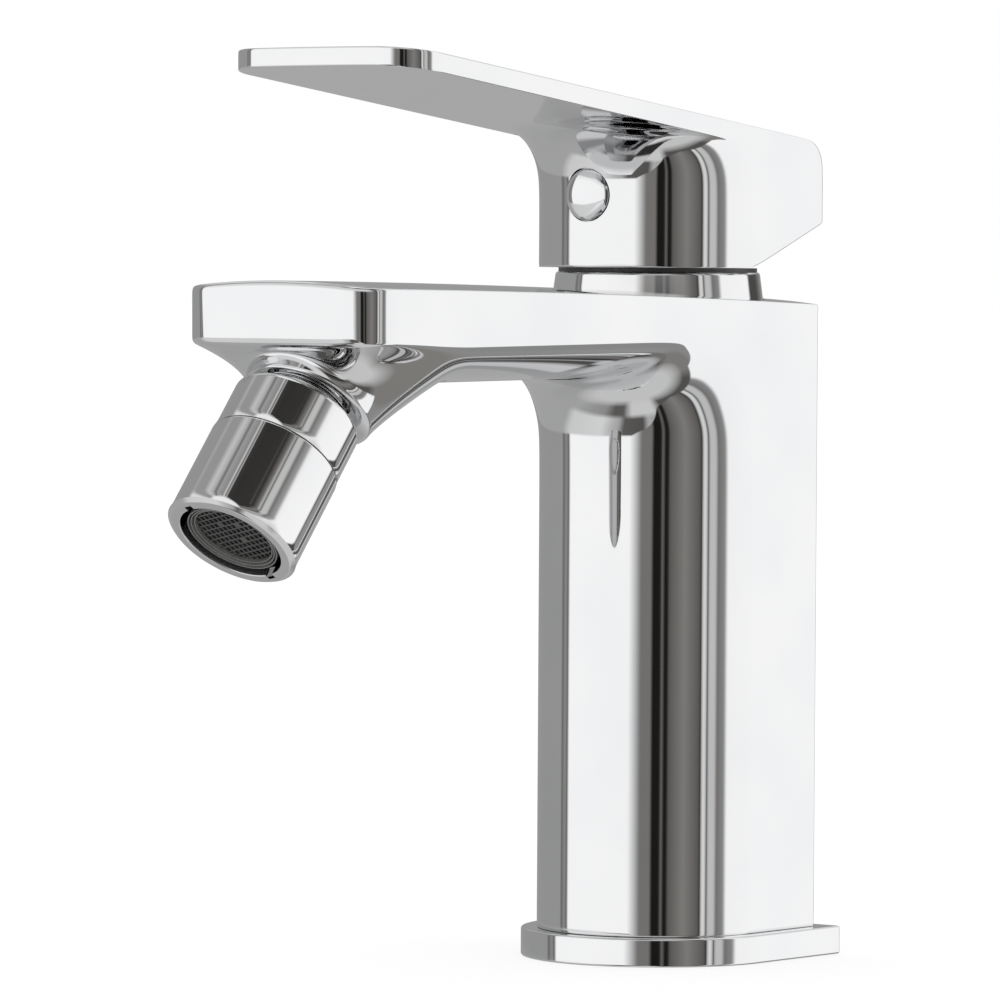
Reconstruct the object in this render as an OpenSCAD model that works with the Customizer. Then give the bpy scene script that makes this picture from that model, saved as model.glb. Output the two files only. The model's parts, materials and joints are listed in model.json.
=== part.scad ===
// Single-lever deck-mounted bidet mixer with a swivelling ball-joint aerator.
// Millimetres. +Z is up, the spout points to -Y, +X is the right-hand side.
// The origin lies on the cartridge axis, at the underside of the base flange.

/* [Body] */
// Width across the flat flanks of column, spout and handle
body_w = 45; // [44:0.5:52]
// Distance of the flat back from the cartridge axis
body_rear = 21.4; // [20:0.2:28]
// Height of the top edge at the flat back
body_h = 124.9; // [115:0.1:150]
// Rise of the top edge from the back to the spout tip
top_rise = 3; // [1:0.1:5]
// Share of the rise that eases off towards the tip
top_ease = 0.7; // [0.3:0.05:1]
// Height of the crown along the middle of the top
crown_h = 1.3; // [0.2:0.1:3]
// Forward reach of the spout from the cartridge axis
spout_reach = 114.9; // [112:0.1:125]
// Height of the flat flank at the spout tip
flank_h = 9.4; // [8:0.1:11]
// Depth of the rounded belly under the spout flanks
belly_drop = 7.8; // [5:0.1:10]
// Length over which the belly rises to the front face
nose_len = 12; // [6:0.5:18]
// Radius of the vertical corners of the spout tip
tip_corner_r = 7.3; // [3:0.1:12]
// Bulge of the front face between its corners
tip_bulge = 0.8; // [0:0.1:2]
// Radius of the fillet between column and spout
inner_fillet_r = 11; // [6:0.5:16]

/* [Base] */
// Thickness of the base flange
flange_t = 5.4; // [4:0.1:8]
// Overhang of the flange at the sides and the front
flange_lip = 2.95; // [1.5:0.05:5]
// Overhang of the flange behind the flat back
flange_rear_lip = 4.6; // [1.5:0.1:6]
// Diameter of the locating spigot under the body
spigot_d = 33.6; // [31:0.1:36]
// Length of the locating spigot
spigot_h = 3.9; // [2:0.1:4.8]
// Width of the sealing gasket
gasket_w = 4; // [2.5:0.1:4.6]
// Thickness of the sealing gasket
gasket_t = 1.2; // [0.8:0.1:2]
// Land between the spigot and the gasket groove
gasket_land = 1; // [0.6:0.1:1.4]
// Diameter of the hose chamber in the foot
chamber_d = 28; // [27:0.2:29]
// Depth of the hose chamber above the deck
chamber_top = 60; // [45:0.5:66]
// Thread diameter of the two hose inlets
inlet_d = 10; // [8:0.5:10]
// Depth of the inlet threads
inlet_depth = 14; // [10:0.5:20]
// Sideways offset of each inlet from the axis
inlet_x = 6.6; // [6:0.1:7.2]
// Offset of the inlets behind the axis
inlet_y = 4; // [2:0.1:5]
// Thread diameter of the fixing stud hole
stud_d = 8; // [6:0.5:8]
// Depth of the fixing stud hole
stud_depth = 20; // [12:0.5:30]
// Offset of the stud hole in front of the axis
stud_y = 8.5; // [8:0.1:9.5]

/* [Waterway] */
// Diameter of the drilled inlet channels
channel_d = 6.4; // [5:0.1:7.5]
// Width of the cored waterway in the spout
core_w = 26; // [14:0.5:30]
// Height of the cored waterway in the spout
core_h = 7; // [5:0.1:8]
// Wall between the belly and the cored waterway
core_floor = 2.6; // [2:0.1:3]
// Width of the riser slot in the cartridge chamber wall
riser_w = 8; // [5:0.5:10]
// Depth of the riser slot in the cartridge chamber wall
riser_t = 2; // [1:0.1:2.4]

/* [Cartridge] */
// Diameter of the ceramic cartridge
cartridge_d = 34.8; // [33:0.1:35.5]
// Thickness of the cartridge base
base_h = 5; // [4:0.1:7]
// Height of the cartridge housing below its shoulder
housing_h = 16; // [15:0.1:18]
// Wall of the cartridge housing
housing_wall = 1.8; // [1.2:0.1:2.4]
// Outer diameter of the housing neck
neck_d = 26.4; // [25.6:0.1:27]
// Thickness of the fixed ceramic disc
fixed_disc_h = 3.8; // [3:0.1:4.5]
// Thickness of the moving ceramic disc
moving_disc_h = 3.4; // [2.5:0.1:4]
// Thickness of the disc carrier
carrier_h = 4.6; // [4:0.1:5]
// Width of the disc carrier between its guides
carrier_w = 19; // [17:0.1:20]
// Floor of the disc carrier under the stem finger
carrier_floor = 1; // [0.6:0.1:1.2]
// Thickness of the rotor guides beside the disc carrier
guide_t = 2; // [1.5:0.1:2.4]
// Diameter of the water ports in the fixed disc
port_d = 5.4; // [4:0.1:5.4]
// Width of the rim around the mixing hollow in the moving disc
mix_rim = 2.4; // [1.5:0.1:3]
// Floor of the outlet gallery in the cartridge base
gallery_floor = 1.5; // [1:0.1:1.8]
// Square section of the control stem
stem_w = 8; // [7:0.1:9]
// Diameter of the stem pivot pin
pin_d = 3.5; // [2.5:0.1:4]
// Depth of the pin's ends inside the rotor's side
pin_inset = 1; // [0.5:0.1:1.5]
// Depth of the stem pivot below the hub's underside
pivot_drop = 6.65; // [6.4:0.05:6.8]
// Reach of the stem above the pivot pin
stem_top = 27; // [24:0.5:28]
// Reach of the stem finger below the pivot pin
stem_arm = 11.5; // [11:0.1:11.8]
// Radius of the round finger end
finger_r = 2.8; // [2.2:0.1:3]
// Thickness of the finger's neck
finger_neck = 4; // [3:0.1:4.4]
// Cord diameter of the port seals
port_seal_t = 1.6; // [1.2:0.1:2]
// Largest lift angle of the lever
lift_max = 20; // [12:1:21]

/* [Nut and collar] */
// Thread diameter of the retaining nut
nut_d = 38.4; // [37.6:0.1:39]
// Threaded length of the retaining nut
nut_thread_h = 5.4; // [4:0.1:5.8]
// Full height of the retaining nut
nut_h = 11; // [9:0.1:12]
// Diameter of the upper part of the retaining nut
nut_neck_d = 33.2; // [31:0.1:34]
// Number of spanner slots in the retaining nut
nut_slots = 6; // [4:1:8]
// Width of one spanner slot
nut_slot_w = 3; // [2:0.1:4]
// Depth of one spanner slot
nut_slot_h = 2; // [1:0.1:3]
// Diameter of the collar at its foot
collar_d = 40.8; // [40.4:0.1:42]
// Diameter of the collar at its top edge
collar_top_d = 39; // [37:0.1:40]
// Height of the collar top above the rear top edge of the body
collar_rise = 6.1; // [5:0.1:9]
// Depth of the collar foot below the rear top edge
collar_sink = 0.9; // [0.5:0.1:1.5]
// Thickness of the collar's top lip
collar_lip = 1.6; // [1:0.1:2.5]
// Gap between the housing neck and the eye of the collar
eye_gap = 1; // [0.6:0.1:1.4]
// Diameter of the plastic slip ring on the collar
slip_ring_d = 38; // [36:0.1:38.4]
// Reach of the slip ring up into the hub's hollow
slip_ring_lap = 0.1; // [0:0.05:0.2]

/* [Handle] */
// Gap between the collar and the handle hub
hub_gap = 0.65; // [0.5:0.05:1.5]
// Height of the handle over the axis, above the hub's underside
hub_h = 27; // [25:0.1:32]
// Flat rear of the handle behind the axis
hub_rear = 22.7; // [20:0.1:28]
// Forward reach of the lever plate from the axis
lever_reach = 102.5; // [80:0.5:115]
// Thickness of the lever plate
lever_t = 3.6; // [2.6:0.1:5]
// Rise of the lever plate towards its tip, in degrees
lever_slope = 6.9; // [3:0.1:10]
// Radius of the lever plate's tip corners
lever_corner_r = 7.3; // [3:0.1:12]
// Radius of the fillet between lever plate and hub
lever_fillet_r = 11; // [6:0.5:14]
// Radius of the rear top corner of the handle
hub_corner_r = 5.5; // [2:0.1:8]
// Slope of the relief cut under the rear of the hub, in degrees
relief_angle = 21.5; // [21:0.1:26]
// Start of the relief cut behind the axis
relief_y = 0.4; // [0.1:0.1:3]
// Depth of the hub's underside hollow
hub_hollow_h = 8; // [6:0.1:9]
// Diameter of the hub's underside hollow
hub_hollow_d = 39.8; // [36:0.1:40]
// Height of the set screw above the hub's underside
screw_z = 13.8; // [13:0.1:16]
// Thread diameter of the set screw
screw_d = 5; // [4:0.5:6]
// Depth of the set screw's outer end below the hub's face
screw_inset = 8; // [6:0.1:9]
// Depth of the key socket in the set screw
key_depth = 2.5; // [1.5:0.1:3]
// Width of the key socket across its corners
key_d = 2.5; // [2:0.1:3]
// Depth of the cap's seat below the hub's face
cap_seat = 2.5; // [2:0.1:4]
// Diameter of the round cap over the set screw
cap_d = 10.4; // [8:0.1:13]
// Height of the cap's dome
cap_dome = 1.1; // [0.4:0.1:2]
// Depth of the dome's edge below the hub's face
cap_sink = 0.4; // [0:0.1:0.6]
// Wall of the plastic bush between stem and handle
bush_wall = 2; // [1.2:0.1:3]

/* [Swivel outlet] */
// Distance of the ball centre behind the spout's tip
ball_back = 4.1; // [3:0.1:6]
// Depth of the ball centre below the spout's belly
ball_drop = 9.5; // [8.7:0.1:10.2]
// Forward tilt of the outlet axis from the vertical, in degrees
outlet_tilt = 39; // [36:0.5:42]
// Diameter of the ball
ball_d = 16; // [15:0.1:16.6]
// Distance from the ball centre to the end of the outlet boss
boss_end = 7.7; // [7.5:0.1:8.4]
// Diameter of the outlet boss at its end
boss_d = 21; // [20:0.1:23]
// Depth of the boss's widest part below the flank edge
boss_sink = 1.5; // [0.5:0.1:3]
// Half angle of the outlet boss, in degrees
boss_flare = 23; // [16:0.5:26]
// Thread diameter of the ball nipple
nipple_d = 16; // [14:0.1:17]
// Thread length of the ball nipple
nipple_h = 9; // [7:0.1:10]
// Water bore through the ball nipple
nipple_bore = 6.4; // [4:0.1:7]
// Diameter of the neck above the ball
ball_neck_d = 9.6; // [9:0.1:10.5]
// Diameter of the nipple's guide ring under the boss
guide_ring_d = 16.8; // [15:0.1:17]
// Height of the guide ring
guide_ring_h = 1.1; // [0.8:0.1:1.2]
// Bevel of the guide ring
guide_ring_bevel = 2.1; // [1.5:0.1:2.6]
// Thickness of the ball seat and of the ball seal
seat_t = 0.8; // [0.6:0.1:1]
// Lower edge of the ball seat, from the ball centre
seat_low = -2.2; // [-3:0.1:-1.5]
// Upper edge of the ball seat, from the ball centre
seat_high = 3.6; // [3:0.1:3.6]
// Lower edge of the ball seal, from the ball centre
seal_low = -7; // [-7:0.1:-6.5]
// Upper edge of the ball seal, from the ball centre
seal_high = -5; // [-5.5:0.1:-4.5]
// Diameter of the aerator shell
shell_d = 24.4; // [24:0.1:26]
// Step between the aerator shell and the socket nut
shell_step = 0.25; // [0.1:0.05:0.6]
// Distance from the ball centre down to the rim
rim_drop = 24; // [22:0.1:26]
// Distance from the ball centre down to the nut joint
joint_drop = 4.7; // [4.2:0.1:5.4]
// Distance from the ball centre up to the top of the socket nut
nut_top = 5.5; // [5.2:0.1:5.7]
// Depth of the bevelled mouth of the socket nut
mouth_h = 2; // [1.6:0.1:2.2]
// Diameter of the socket nut's mouth at its top
mouth_d = 18.4; // [18:0.1:18.8]
// Diameter of the socket nut's mouth at its foot
mouth_low_d = 15; // [14:0.1:15.6]
// Wall of the shell's threaded end around the ball pocket
thread_wall = 1.2; // [1:0.1:1.4]
// Length of the shell's threaded end
thread_h = 3; // [2.5:0.1:3.5]
// Bevel of the aerator shell's rim
rim_bevel = 0.7; // [0.4:0.1:1]
// Diameter of the water throat in the aerator shell
throat_d = 11.2; // [9:0.1:12]
// Rounding of the socket nut's shoulder
shoulder_r = 1.5; // [0.5:0.1:2]
// Diameter of the aerator chamber at the rim
outlet_d = 18.4; // [17:0.1:19]
// Height of the aerator insert
insert_h = 9.4; // [7:0.1:10]
// Wall of the aerator insert
insert_wall = 1.4; // [1:0.1:2]
// Number of water jets in the insert's plate
jet_count = 12; // [6:1:16]
// Diameter of one water jet
jet_d = 1.6; // [1:0.1:2]
// Distance of the jets from the outlet axis
jet_ring_r = 5.6; // [4.5:0.1:6]
// Thickness of the insert's jet plate
jet_plate_t = 1.5; // [1:0.1:2]
// Width of the lip that carries the grille
grille_lip = 0.6; // [0.4:0.1:1]
// Set-back of the insert behind the rim
insert_back = 0.8; // [0.3:0.1:2]
// Thickness of the aerator washer
washer_t = 1; // [0.8:0.1:1.2]
// Thickness of the grille
grille_t = 1.2; // [0.8:0.1:2]
// Number of bars across the grille each way
grille_bars = 9; // [5:1:13]
// Width of one grille bar
grille_bar = 0.45; // [0.3:0.05:0.8]
// Width of the two key notches in the rim
notch_w = 1.8; // [1:0.1:3]
// Depth of the two key notches in the rim
notch_t = 1; // [0.5:0.1:1.6]
// Turn of the notches and the grille about the outlet axis
key_turn = 73; // [0:1:180]

/* [Fits] */
// Radial clearance of fitted and screwed pieces
fit = 0.1; // [0.05:0.01:0.2]
// Radial clearance of the pivot pin in the stem
pin_fit = 0.05; // [0.02:0.01:0.1]
// Running clearance between pieces that move past each other
run = 0.3; // [0.2:0.05:0.4]

/* [Hidden] */
$fn = 96;

chrome = "silver";
brass = "goldenrod";
rubber = "dimgray";
acetal = "gainsboro";
ceramic = "white";

slices = 24;
arc_steps = 8;
top_steps = 6;
flank_depth = 0.04;
eps = 0.01;
far = 400;

half_w = body_w / 2;
body_foot = flange_t;
flank_low = body_h + top_rise - flank_h;
belly_z = flank_low - belly_drop;
spigot_r = spigot_d / 2;
gasket_in = spigot_r + fit + gasket_land;

collar_top_z = body_h + collar_rise;
collar_foot_z = body_h - collar_sink;
hub_z = collar_top_z + hub_gap;
pivot_z = hub_z - pivot_drop;
nut_top_z = collar_top_z - collar_lip - run;
shoulder_z = nut_top_z - nut_h;
housing_z = shoulder_z - housing_h;
seat_z = housing_z - base_h;

cart_r = cartridge_d / 2;
bore_r = cart_r + run;
nut_r = nut_d / 2;
neck_r = neck_d / 2;
neck_bore_r = neck_r - housing_wall;
rotor_r = neck_bore_r - run;
housing_bore_r = cart_r - housing_wall;
fixed_disc_z = housing_z + fit;
moving_disc_z = fixed_disc_z + fixed_disc_h + pin_fit;
carrier_z = moving_disc_z + moving_disc_h;
rotor_z = carrier_z + carrier_h + run;
rotor_top_z = nut_top_z + run;
neck_top_z = nut_top_z - run;
finger_z = pivot_z - stem_arm;
lift_swing = stem_arm * sin(lift_max);
disc_travel = stem_arm * lift_max * PI / 180;
disc_r = housing_bore_r - disc_travel - run;

lever_drop = tan(lever_slope);
bush_w = stem_w + 2 * fit + 2 * bush_wall;
screw_height = hub_z + screw_z;
bush_z = hub_z + hub_hollow_h;
stem_top_z = pivot_z + stem_top;

ball_y = spout_reach - ball_back;
ball_z = belly_z - ball_drop;
ball_r = ball_d / 2;
seat_in_r = ball_r + run;
seat_out_r = seat_in_r + seat_t;
pocket_r = seat_out_r + run;
shell_r = shell_d / 2;
socket_r = shell_r - shell_step;
nipple_r = nipple_d / 2;
outlet_r = outlet_d / 2;
insert_r = outlet_r - run;
insert_bore_r = insert_r - insert_wall;
insert_low = -rim_drop + insert_back;
insert_top = insert_low + insert_h;
chamber_end = insert_top + washer_t + 2 * fit;
joint_z = -joint_drop;
thread_r = pocket_r + thread_wall;
throat_r = throat_d / 2;

// Share of full depth across the width: next to none at the flanks, all in the middle
function depth_at(x) = sqrt(max(flank_depth * flank_depth, 1 - pow(x / half_w, 2)));

// Front line of a slab with a bulging face and round corners, at offset x
function tip_at(x, reach, corner, bulge) =
    let (past = max(0, abs(x) - (half_w - corner)))
    -reach + bulge * pow(x / half_w, 2) + corner - sqrt(max(0, corner * corner - past * past));

// Height of the body's top at offset x and place y
function top_at(x, y) =
    let (t = (body_rear - y) / (body_rear + spout_reach))
    body_h + top_rise * ((1 + top_ease) * t - top_ease * t * t)
    + crown_h * (1 - pow(x / half_w, 2));

// Points of an arc about a centre, from angle a0 to a1
function arc(cy, cz, r, a0, a1, n) =
    [for (i = [0:n]) let (a = a0 + (a1 - a0) * i / n) [cy + r * cos(a), cz + r * sin(a)]];

// Side outline of the body at offset x
function body_outline(x) =
    let (deep = depth_at(x),
         front = -half_w * deep,
         belly = flank_low - belly_drop * deep,
         tip = tip_at(x, spout_reach, tip_corner_r, tip_bulge))
    concat(
        [[body_rear, body_foot]],
        [for (i = [0:top_steps]) let (y = body_rear + (tip - body_rear) * i / top_steps) [y, top_at(x, y)]],
        [for (i = [0:arc_steps - 1]) let (a = 90 * i / arc_steps)
            [tip + nose_len * (1 - cos(a)), flank_low - (flank_low - belly) * sin(a)]],
        [[tip + nose_len, belly]],
        arc(front - inner_fillet_r, belly - inner_fillet_r, inner_fillet_r, 90, 0, arc_steps),
        [[front, body_foot]]);

// Height of the lever plate's top at place y
function lever_top(y) = hub_z + hub_h - lever_drop * y;

// Side outline of the handle at offset x
function handle_outline(x) =
    let (front = -half_w * depth_at(x),
         tip = tip_at(x, lever_reach, lever_corner_r, tip_bulge),
         fillet_y = front - lever_fillet_r,
         fillet_z = lever_top(fillet_y) - lever_t - lever_fillet_r / cos(lever_slope),
         corner_y = hub_rear - hub_corner_r,
         corner_z = lever_top(corner_y) - hub_corner_r / cos(lever_slope))
    concat(
        [[relief_y, hub_z], [hub_rear, hub_z + tan(relief_angle) * (hub_rear - relief_y)]],
        arc(corner_y, corner_z, hub_corner_r, 0, 90 - lever_slope, arc_steps),
        [[tip, lever_top(tip)], [tip, lever_top(tip) - lever_t]],
        arc(fillet_y, fillet_z, lever_fillet_r, 90 - lever_slope, 0, arc_steps),
        [[front, hub_z]]);

// Solid through side outlines that are placed across the width. The flat ends are fans
// of triangles from outline point hub, which has a clear view of the whole outline.
module across(outlines, hub) {
    n = len(outlines[0]);
    last = len(outlines) - 1;
    points = [for (i = [0:last], p = outlines[i]) [slice_x(i), p[0], p[1]]];
    faces = concat(
        [for (k = [1:n - 2]) [hub, (hub + k) % n, (hub + k + 1) % n]],
        [for (k = [1:n - 2]) [last * n + hub, last * n + (hub + k + 1) % n, last * n + (hub + k) % n]],
        [for (i = [0:last - 1], k = [0:n - 1]) let (a = i * n + k, b = i * n + (k + 1) % n)
            [a, b + n, b]],
        [for (i = [0:last - 1], k = [0:n - 1]) let (a = i * n + k, b = i * n + (k + 1) % n)
            [a, a + n, b + n]]);
    polyhedron(points, faces, convexity = 8);
}

// Offset of slice i from the middle plane
function slice_x(i) = -half_w * cos(180 * i / slices);

// Plan of a round-fronted plate: half width r, flat back at depth rear
module d_plan(r, rear) {
    circle(r);
    translate([-r, 0])
        square([2 * r, rear]);
}

// Ring from z0 up to z1
module ring(r_out, r_in, z0, z1) {
    translate([0, 0, z0])
        difference() {
            cylinder(r = r_out, h = z1 - z0);
            translate([0, 0, -1])
                cylinder(r = r_in, h = z1 - z0 + 2);
        }
}

// Frame of the swivel outlet: origin at the ball centre, +Z up into the boss
module at_outlet() {
    translate([0, -ball_y, ball_z])
        rotate([-outlet_tilt, 0, 0])
            children();
}

// Frame of the set screw: origin on the cartridge axis, +Z towards the front
module at_screw() {
    translate([0, 0, screw_height])
        rotate([90, 0, 0])
            children();
}

// Flared boss under the spout tip, cut off inside the spout
module outlet_boss() {
    boss_h = half_w;
    intersection() {
        at_outlet()
            translate([0, 0, boss_end])
                cylinder(r1 = boss_d / 2, r2 = boss_d / 2 + boss_h * tan(boss_flare), h = boss_h);
        translate([-half_w + eps, tip_bulge - spout_reach, 0])
            cube([body_w - 2 * eps, spout_reach, flank_low - boss_sink]);
    }
}

// Cored waterway of the spout, seen along its length
module core_section() {
    for (side = [-1, 1])
        translate([side * (core_w - core_h) / 2, 0])
            circle(d = core_h);
    square([core_w - core_h, core_h], center = true);
}

module body_casting() {
    core_z = belly_z + core_floor + core_h / 2;
    core_front = ball_y - (boss_end + nipple_h) * sin(outlet_tilt) - nipple_bore / 2;
    color(chrome)
    difference() {
        union() {
            across([for (i = [0:slices]) body_outline(slice_x(i))], 1);
            outlet_boss();
            translate([0, 0, body_foot - spigot_h])
                cylinder(r = spigot_r, h = spigot_h + 1);
        }
        // Cartridge chamber, nut thread and collar seat
        translate([0, 0, seat_z])
            cylinder(r = bore_r, h = far);
        translate([0, 0, shoulder_z - run])
            cylinder(r = nut_r + fit, h = far);
        translate([0, 0, collar_foot_z])
            cylinder(d = collar_d + 2 * fit, h = far);
        // Riser slot from the chamber foot to the spout
        translate([-riser_w / 2, -bore_r - riser_t, seat_z])
            cube([riser_w, bore_r, core_z - seat_z]);
        // Cored waterway
        translate([0, 0, core_z])
            rotate([90, 0, 0])
                linear_extrude(core_front)
                    core_section();
        // Threaded outlet for the ball nipple
        at_outlet()
            translate([0, 0, boss_end - 1])
                cylinder(r = nipple_r + fit, h = nipple_h + port_seal_t + 1);
        // Hose chamber, inlets and stud hole
        cylinder(d = chamber_d, h = chamber_top);
        for (side = [-1, 1])
            translate([side * inlet_x, inlet_y, 0]) {
                cylinder(d = inlet_d, h = chamber_top + inlet_depth);
                cylinder(d = channel_d, h = seat_z + 1);
            }
        translate([0, -stud_y, 0])
            cylinder(d = stud_d, h = chamber_top + stud_depth);
    }
}

module base_flange() {
    color(chrome)
    difference() {
        linear_extrude(flange_t)
            d_plan(half_w + flange_lip, body_rear + flange_rear_lip);
        translate([0, 0, -1])
            cylinder(r = spigot_r + fit, h = flange_t + 2);
        ring(gasket_in + gasket_w, gasket_in, -1, gasket_t);
    }
}

module base_gasket() {
    color(rubber)
        ring(gasket_in + gasket_w, gasket_in, 0, gasket_t);
}

module retaining_nut() {
    color(brass)
    difference() {
        union() {
            translate([0, 0, shoulder_z])
                cylinder(r = nut_r, h = nut_thread_h);
            translate([0, 0, shoulder_z])
                cylinder(d = nut_neck_d, h = nut_h);
        }
        translate([0, 0, shoulder_z - 1])
            cylinder(r = neck_r + fit, h = nut_h + 2);
        // Spanner slots in the top face
        for (i = [0:nut_slots - 1])
            rotate([0, 0, 360 * i / nut_slots])
                translate([-nut_slot_w / 2, neck_r, nut_top_z - nut_slot_h])
                    cube([nut_slot_w, nut_r, far]);
    }
}

module collar() {
    color(chrome)
    difference() {
        translate([0, 0, collar_foot_z])
            cylinder(d1 = collar_d, d2 = collar_top_d, h = collar_top_z - collar_foot_z);
        translate([0, 0, collar_foot_z - 1])
            cylinder(d = nut_neck_d + 2 * fit, h = nut_top_z + run - collar_foot_z + 1);
        translate([0, 0, collar_foot_z])
            cylinder(r = neck_r + eye_gap, h = far);
    }
}

module slip_ring() {
    color("darkslategray")
    ring(slip_ring_d / 2, neck_r + eye_gap, collar_top_z, hub_z + slip_ring_lap);
}

module cartridge_base() {
    color(acetal)
    difference() {
        translate([0, 0, seat_z])
            cylinder(r = cart_r, h = base_h);
        for (side = [-1, 1])
            translate([side * inlet_x, inlet_y, seat_z - 1]) {
                cylinder(d = channel_d, h = base_h + 2);
                cylinder(d = channel_d + 2 * port_seal_t, h = 1 + port_seal_t);
            }
        translate([0, -stud_y, seat_z + gallery_floor])
            cylinder(d = channel_d, h = base_h);
        // Outlet gallery to the riser slot
        translate([-riser_w / 2, -cart_r - 1, seat_z + gallery_floor])
            cube([riser_w, cart_r + 1 - stud_y, base_h - 2 * gallery_floor]);
    }
}

module port_seals() {
    color(rubber)
    for (side = [-1, 1])
        translate([side * inlet_x, inlet_y, 0])
            ring(channel_d / 2 + port_seal_t, channel_d / 2, seat_z, seat_z + port_seal_t);
}

module cartridge_housing() {
    color(acetal)
    difference() {
        union() {
            translate([0, 0, housing_z])
                cylinder(r = cart_r, h = housing_h);
            translate([0, 0, housing_z])
                cylinder(r = neck_r, h = neck_top_z - housing_z);
        }
        translate([0, 0, housing_z - 1])
            cylinder(r = housing_bore_r, h = housing_h + 1 - housing_wall);
        translate([0, 0, housing_z])
            cylinder(r = neck_bore_r, h = far);
    }
}

module fixed_disc() {
    color(ceramic)
    difference() {
        translate([0, 0, fixed_disc_z])
            cylinder(r = housing_bore_r - fit, h = fixed_disc_h);
        for (side = [-1, 1])
            translate([side * inlet_x, inlet_y, fixed_disc_z - 1])
                cylinder(d = port_d, h = fixed_disc_h + 2);
        translate([0, -stud_y, fixed_disc_z - 1])
            cylinder(d = port_d, h = fixed_disc_h + 2);
    }
}

module cartridge_rotor() {
    skirt_r = housing_bore_r - run;
    skirt_top = shoulder_z - housing_wall - run;
    guide_x = carrier_w / 2 + run;
    color(acetal)
    difference() {
        union() {
            translate([0, 0, rotor_z])
                cylinder(r = skirt_r, h = skirt_top - rotor_z);
            translate([0, 0, rotor_z])
                cylinder(r = rotor_r, h = rotor_top_z - rotor_z);
            // Guides on both sides of the disc carrier
            for (side = [-1, 1])
                translate([side * (guide_x + guide_t / 2) - guide_t / 2, -disc_r / 2, carrier_z + run])
                    cube([guide_t, disc_r, skirt_top - carrier_z - run]);
        }
        // Slot in which the stem swings
        translate([-stem_w / 2 - run, -stem_w / 2 - lift_swing - run, carrier_z])
            cube([stem_w + 2 * run, stem_w + 2 * lift_swing + 2 * run, far]);
        translate([-far / 2, 0, pivot_z])
            rotate([0, 90, 0])
                cylinder(d = pin_d, h = far);
    }
}

module stem_pin() {
    color("lightsteelblue")
        translate([pin_inset - rotor_r, 0, pivot_z])
            rotate([0, 90, 0])
                cylinder(d = pin_d, h = 2 * (rotor_r - pin_inset));
}

module disc_carrier() {
    color(acetal)
    difference() {
        intersection() {
            translate([0, 0, carrier_z])
                cylinder(r = disc_r, h = carrier_h);
            translate([-carrier_w / 2, -far / 2, carrier_z])
                cube([carrier_w, far, carrier_h]);
        }
        translate([-stem_w / 2 - run, -finger_r - run, carrier_z + carrier_floor])
            cube([stem_w + 2 * run, 2 * (finger_r + run), carrier_h]);
    }
}

module moving_disc() {
    color(ceramic)
    difference() {
        translate([0, 0, moving_disc_z])
            cylinder(r = disc_r, h = moving_disc_h);
        // Mixing hollow in the underside
        translate([0, 0, moving_disc_z - 1])
            cylinder(r = disc_r - mix_rim, h = 1 + moving_disc_h / 2);
    }
}

module cartridge_stem() {
    color(brass)
    difference() {
        union() {
            translate([-stem_w / 2, -stem_w / 2, pivot_z - stem_w / 2])
                cube([stem_w, stem_w, stem_top + stem_w / 2]);
            translate([-stem_w / 2, -finger_neck / 2, finger_z])
                cube([stem_w, finger_neck, stem_arm - stem_w / 2 + 1]);
            translate([-stem_w / 2, 0, finger_z])
                rotate([0, 90, 0])
                    cylinder(r = finger_r, h = stem_w);
        }
        translate([-stem_w, 0, pivot_z])
            rotate([0, 90, 0])
                cylinder(d = pin_d + 2 * pin_fit, h = 2 * stem_w);
    }
}

module handle() {
    color(chrome)
    difference() {
        across([for (i = [0:slices]) handle_outline(slice_x(i))], 2 + arc_steps);
        translate([0, 0, hub_z - 1])
            cylinder(d = hub_hollow_d, h = hub_hollow_h + 1);
        // Socket for the bush and the stem
        translate([-bush_w / 2 - fit, -bush_w / 2 - fit, hub_z])
            cube([bush_w + 2 * fit, bush_w + 2 * fit, stem_top_z + fit - hub_z]);
        // Set screw hole and cap seat
        at_screw() {
            cylinder(d = screw_d, h = far);
            translate([0, 0, half_w - cap_seat])
                cylinder(d = cap_d + 2 * fit, h = far);
        }
    }
}

module handle_bush() {
    color(acetal)
    difference() {
        translate([-bush_w / 2, -bush_w / 2, bush_z])
            cube([bush_w, bush_w, stem_top_z - bush_z]);
        translate([-stem_w / 2 - fit, -stem_w / 2 - fit, bush_z - 1])
            cube([stem_w + 2 * fit, stem_w + 2 * fit, far]);
        at_screw()
            cylinder(d = screw_d + 2 * fit, h = half_w);
    }
}

module set_screw() {
    color("slategray")
    at_screw()
        difference() {
            translate([0, 0, stem_w / 2])
                cylinder(d = screw_d, h = half_w - stem_w / 2 - screw_inset);
            // Hexagon socket for the key
            translate([0, 0, half_w - screw_inset - key_depth])
                cylinder(d = key_d, h = far, $fn = 6);
        }
}

module screw_cap() {
    seat_z = half_w - cap_seat;
    dome_r = (pow(cap_d / 2, 2) + cap_dome * cap_dome) / (2 * cap_dome);
    dome_top = half_w + cap_dome - cap_sink;
    color(chrome)
    at_screw()
        intersection() {
            translate([0, 0, seat_z])
                cylinder(d = cap_d, h = dome_top - seat_z);
            translate([0, 0, dome_top - dome_r])
                sphere(r = dome_r);
        }
}

module ball_nipple() {
    ring_r = guide_ring_d / 2;
    color(chrome)
    at_outlet()
        difference() {
            union() {
                sphere(r = ball_r);
                cylinder(d = ball_neck_d, h = boss_end + 1);
                translate([0, 0, boss_end - guide_ring_h])
                    cylinder(r1 = ring_r - guide_ring_bevel, r2 = ring_r, h = guide_ring_h);
                translate([0, 0, boss_end])
                    cylinder(r = nipple_r, h = nipple_h);
            }
            translate([0, 0, -ball_r - 1])
                cylinder(d = nipple_bore, h = ball_r + boss_end + nipple_h + 2);
        }
}

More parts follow.
